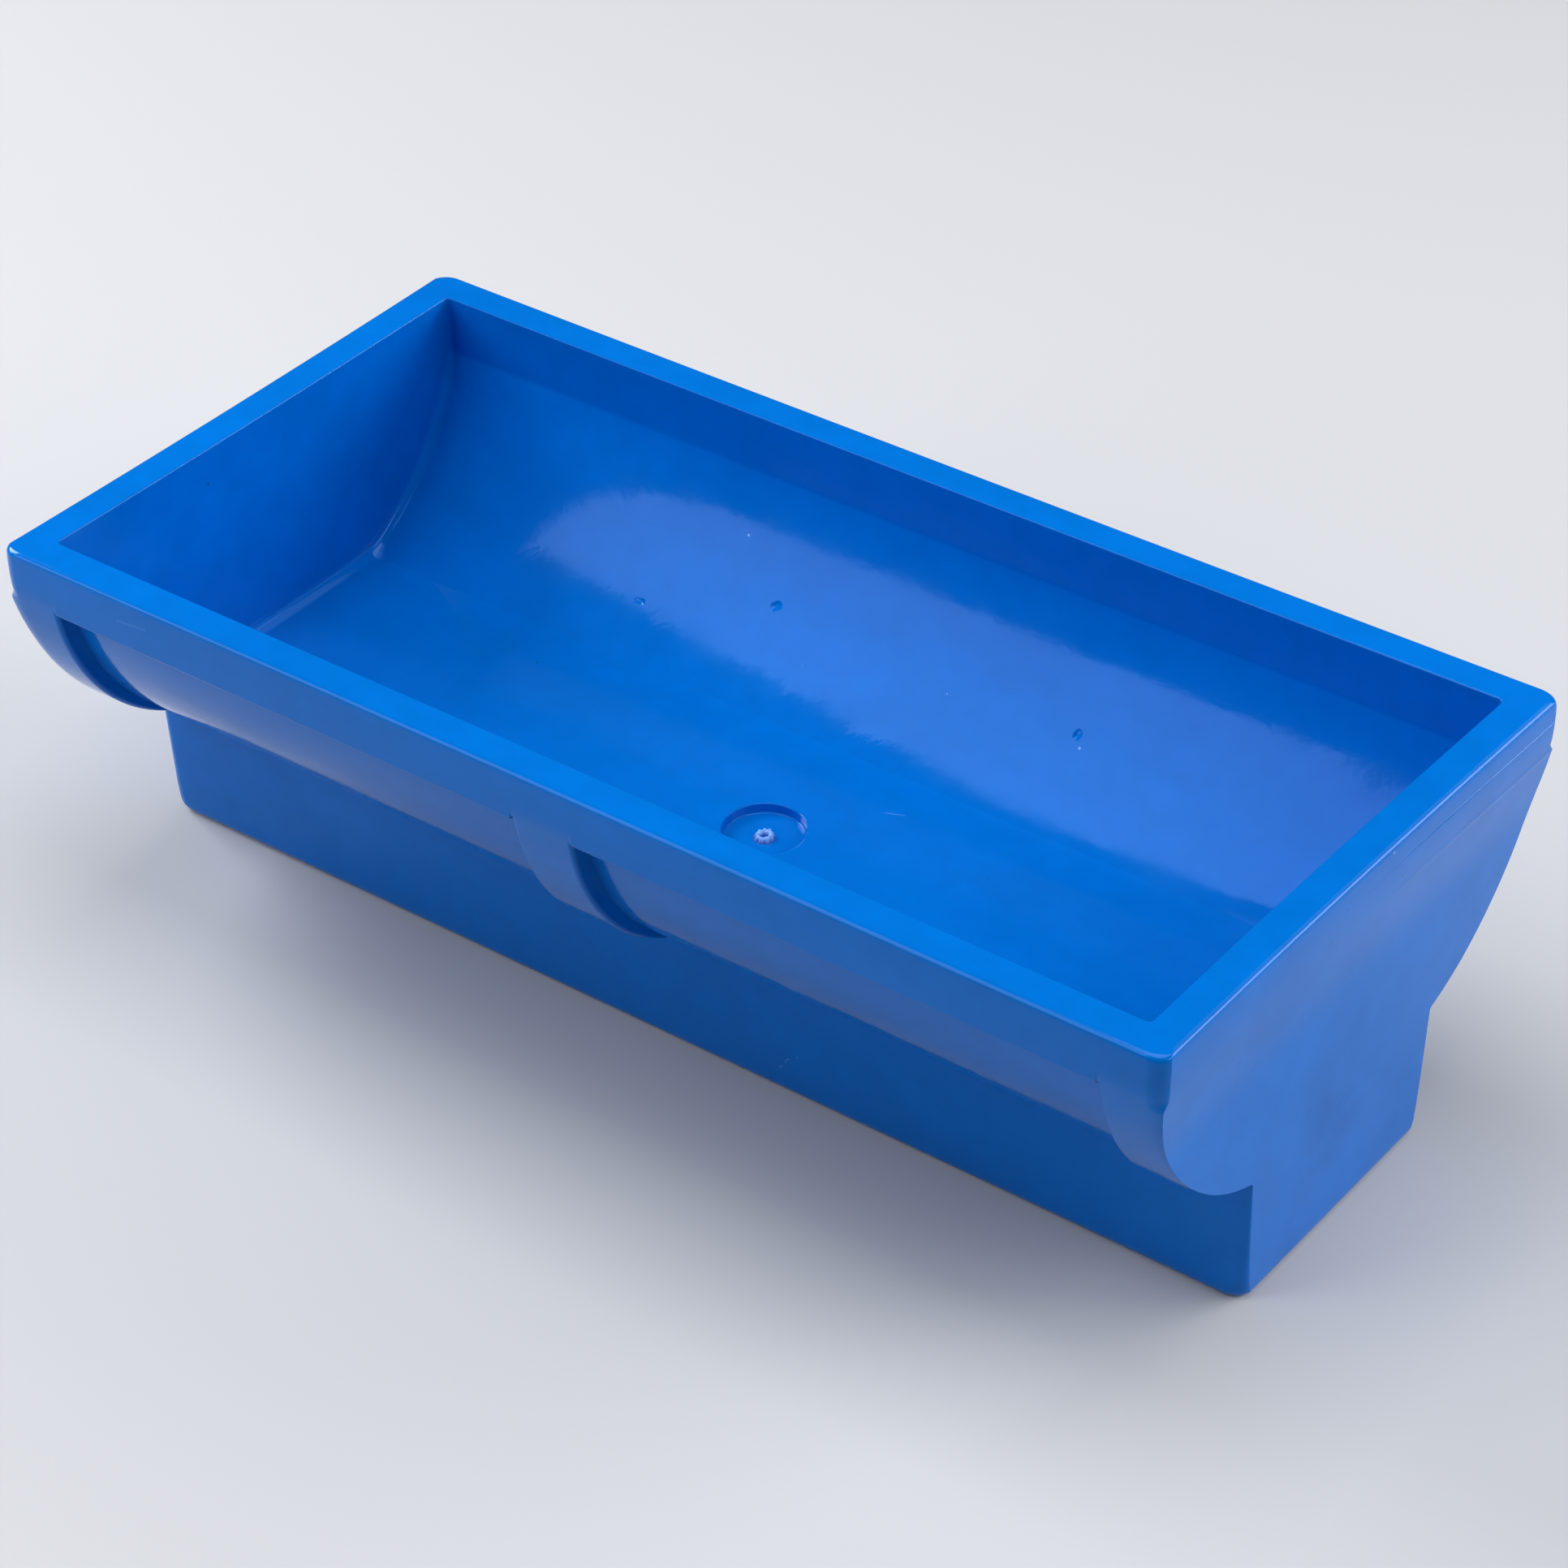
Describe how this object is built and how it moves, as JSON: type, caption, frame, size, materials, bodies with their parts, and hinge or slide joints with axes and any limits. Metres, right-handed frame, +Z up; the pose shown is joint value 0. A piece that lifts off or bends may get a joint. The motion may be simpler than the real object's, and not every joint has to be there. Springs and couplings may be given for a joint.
{
  "type": "mud pan",
  "caption": "Long plastic pan for joint compound: flat floor, curved front and back walls, flat end walls, flat-topped rim, grip ribs and a hollow base.",
  "frame": {"origin": "on the ground under the middle of the pan: the centre of the base's footprint at z = 0", "axes": "+X along the pan to its right end, +Y to its back wall, +Z up out of the mouth"},
  "size_m": [0.33, 0.162, 0.1],
  "materials": {
    "blue_plastic": "satin, fine moulded texture",
    "stress_whitened_plastic": "dull, torn surface"
  },
  "bodies": {
    "root": {"pan_floor": "blue_plastic", "sprue_stub": "stress_whitened_plastic", "front_wall": "blue_plastic", "back_wall": "blue_plastic", "left_end_wall": "blue_plastic", "right_end_wall": "blue_plastic", "front_rim": "blue_plastic", "back_rim": "blue_plastic", "left_rim": "blue_plastic", "right_rim": "blue_plastic", "base_front_wall": "blue_plastic", "base_back_wall": "blue_plastic", "front_left_grip_rib": "blue_plastic", "front_middle_grip_rib": "blue_plastic", "front_right_grip_rib": "blue_plastic", "back_left_grip_rib": "blue_plastic", "back_middle_grip_rib": "blue_plastic", "back_right_grip_rib": "blue_plastic", "left_underside_web": "blue_plastic", "middle_underside_web": "blue_plastic", "right_underside_web": "blue_plastic"}
  },
  "joints": []
}
